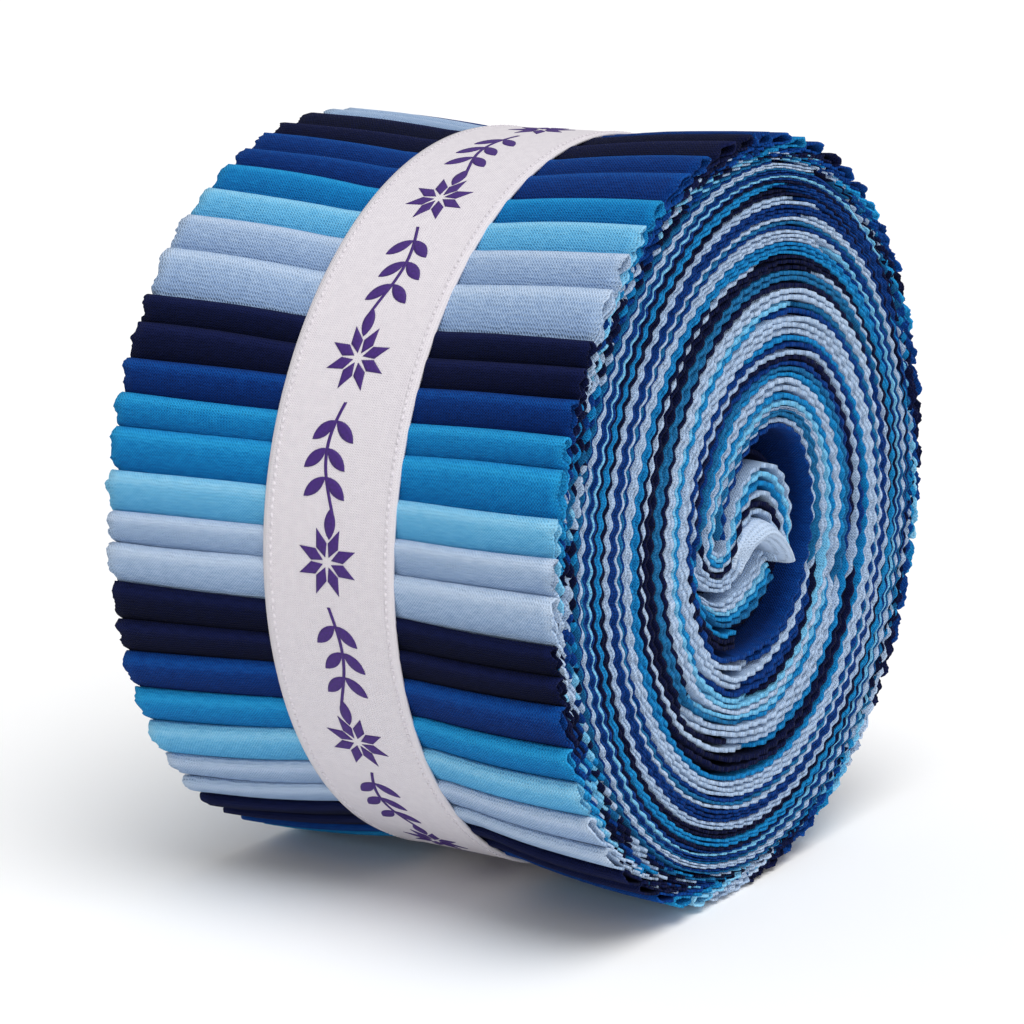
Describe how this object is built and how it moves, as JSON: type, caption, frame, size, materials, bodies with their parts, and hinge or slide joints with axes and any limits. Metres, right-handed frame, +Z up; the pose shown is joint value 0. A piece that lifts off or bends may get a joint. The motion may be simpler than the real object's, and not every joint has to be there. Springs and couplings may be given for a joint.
{
  "type": "jelly roll fabric strips",
  "caption": "Roll of folded cotton strips with pinked edges, lapped folds round the outside and a spiral at each end, held by a flat woven ribbon.",
  "frame": {"origin": "centre of the roll's foot, on the surface that it stands on", "axes": "+X along the roll's axis towards the end with the loose corner, +Y across the roll, +Z up"},
  "size_m": [0.0636, 0.0964, 0.0953],
  "materials": {
    "navy_cotton": "fine plain weave, matt",
    "royal_cotton": "fine plain weave, matt",
    "mid_cotton": "fine plain weave, matt",
    "sky_cotton": "fine plain weave, matt",
    "ice_cotton": "fine plain weave, matt",
    "ribbon_weave": "close flat weave with a soft sheen"
  },
  "bodies": {
    "root": {"roll": "mid_cotton", "ribbon": "ribbon_weave", "loose_corner": "ice_cotton"}
  },
  "joints": []
}
